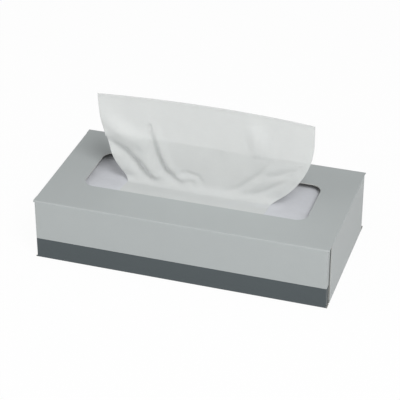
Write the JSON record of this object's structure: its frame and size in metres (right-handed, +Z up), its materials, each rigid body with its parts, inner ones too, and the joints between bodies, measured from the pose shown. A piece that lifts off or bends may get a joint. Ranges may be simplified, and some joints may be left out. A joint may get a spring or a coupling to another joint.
{
  "type": "tissue box",
  "caption": "Flat rectangular carton with a long round-cornered top opening, filled with interfolded tissues, the next sheet standing up out of it.",
  "frame": {"origin": "centre of the carton's footprint, on the surface that it stands on", "axes": "+X along the long side towards the right end, +Y towards the back panel, +Z up out of the opening; the printed front panel faces -Y"},
  "size_m": [0.23, 0.118, 0.1206],
  "materials": {
    "carton_board": "printed folding boxboard, light grey with a dark band, satin",
    "tissue_stack": "soft creped tissue, matt",
    "tissue_sheet": "soft creped tissue, matt, slightly see-through"
  },
  "bodies": {
    "root": {"carton": "carton_board", "tissue_pile": "tissue_stack", "raised_tissue": "tissue_sheet"}
  },
  "joints": []
}
